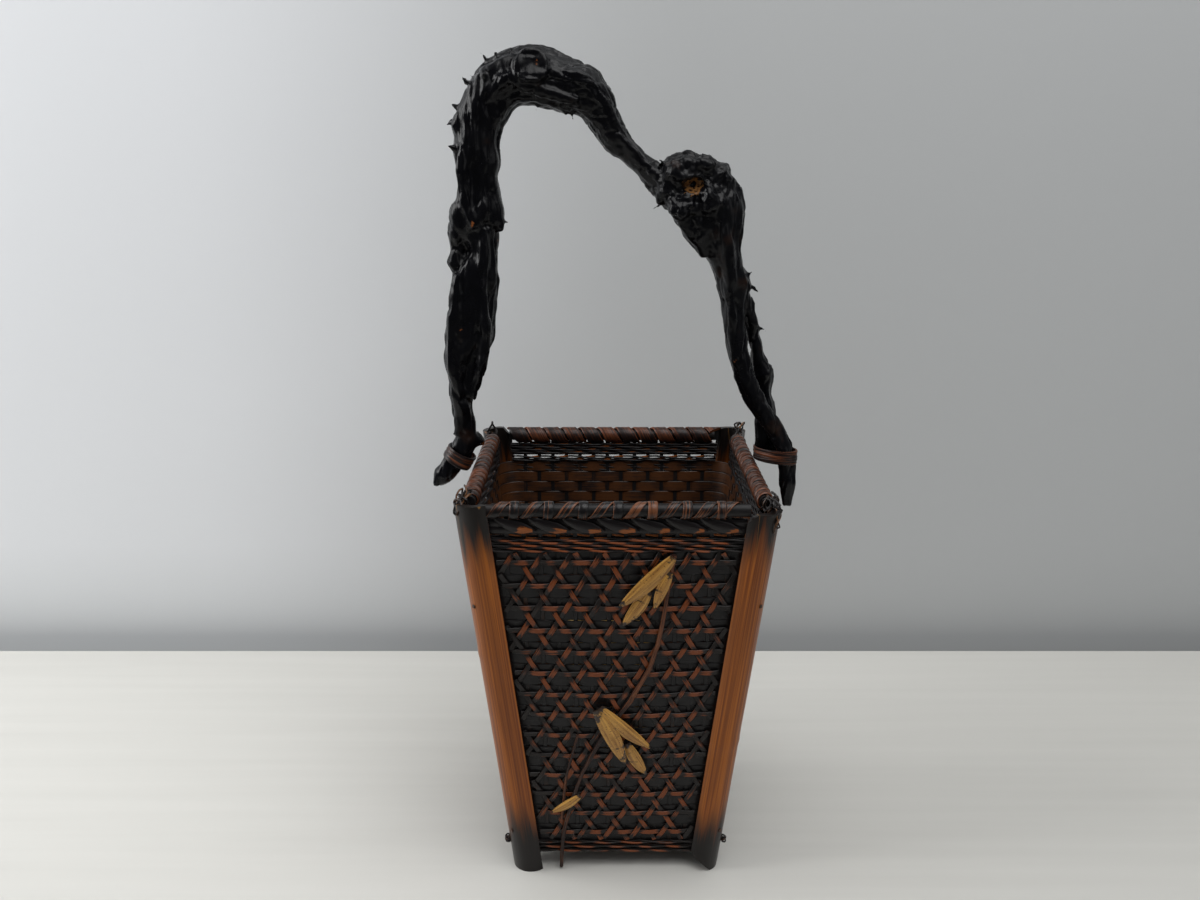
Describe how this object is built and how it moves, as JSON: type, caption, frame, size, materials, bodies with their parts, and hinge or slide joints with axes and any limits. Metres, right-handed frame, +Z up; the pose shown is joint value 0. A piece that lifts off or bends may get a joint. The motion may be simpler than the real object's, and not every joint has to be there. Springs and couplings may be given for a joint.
{
  "type": "flower basket vase",
  "caption": "Tall square woven bamboo flower basket with corner posts, a hexagonal over-weave, an arched root handle and a loose water tube inside.",
  "frame": {"origin": "middle of the basket on the surface it stands on", "axes": "+Z up, +X to the right of the side that carries the sprig, +Y away from that side"},
  "size_m": [0.229, 0.1822, 0.4958],
  "materials": {
    "smoked_bamboo": "split culm, smoked orange-brown with scorched ends, satin",
    "dark_strip": "thin dyed bamboo strips, satin",
    "smoked_lath": "split bamboo lath, dyed",
    "red_brown_strip": "fine dyed bamboo strips, satin",
    "twined_strip": "twined dyed bamboo, worn orange on the high spots",
    "rim_bamboo": "half-round bamboo hoop, dyed dark",
    "dyed_cane": "dyed rattan cane, satin",
    "lacquered_root": "black lacquered root, glossy",
    "sprig_twig": "thin dyed bamboo twig",
    "sprig_leaf": "golden bamboo sheath, satin",
    "tube_bamboo": "plain bamboo culm, dry"
  },
  "bodies": {
    "basket": {"corner_lashings": "dyed_cane", "floor_braces": "smoked_lath", "floor_mat": "dark_strip", "folded_ends_back": "twined_strip", "folded_ends_front": "twined_strip", "folded_ends_left": "twined_strip", "folded_ends_right": "twined_strip", "foot_knots": "dyed_cane", "foot_twining_back": "twined_strip", "foot_twining_front": "twined_strip", "foot_twining_left": "twined_strip", "foot_twining_right": "twined_strip", "handle_lashings": "dyed_cane", "handle_root": "lacquered_root", "hex_falling_back": "red_brown_strip", "hex_falling_front": "red_brown_strip", "hex_falling_left": "red_brown_strip", "hex_falling_right": "red_brown_strip", "hex_level_back": "red_brown_strip", "hex_level_front": "red_brown_strip", "hex_level_left": "red_brown_strip", "hex_level_right": "red_brown_strip", "hex_rising_back": "red_brown_strip", "hex_rising_front": "red_brown_strip", "hex_rising_left": "red_brown_strip", "hex_rising_right": "red_brown_strip", "lining_back": "dark_strip", "lining_corner_back_left": "dark_strip", "lining_corner_back_right": "dark_strip", "lining_corner_front_left": "dark_strip", "lining_corner_front_right": "dark_strip", "lining_front": "dark_strip", "lining_left": "dark_strip", "lining_right": "dark_strip", "post_back_left": "smoked_bamboo", "post_back_right": "smoked_bamboo", "post_front_left": "smoked_bamboo", "post_front_right": "smoked_bamboo", "post_pegs": "smoked_bamboo", "rim_binding": "dyed_cane", "rim_hoops_back": "rim_bamboo", "rim_hoops_front": "rim_bamboo", "rim_hoops_left": "rim_bamboo", "rim_hoops_right": "rim_bamboo", "sprig_leaves": "sprig_leaf", "sprig_stem": "sprig_twig", "sprig_twig": "sprig_twig", "top_twining_back": "twined_strip", "top_twining_front": "twined_strip", "top_twining_left": "twined_strip", "top_twining_right": "twined_strip"},
    "water_tube": {"water_tube": "tube_bamboo"}
  },
  "joints": [
    {"name": "water_tube_lift", "type": "slide", "parent": "basket", "child": "water_tube", "axis": [0, 0, 1], "range_m": [0, 0.24]}
  ]
}
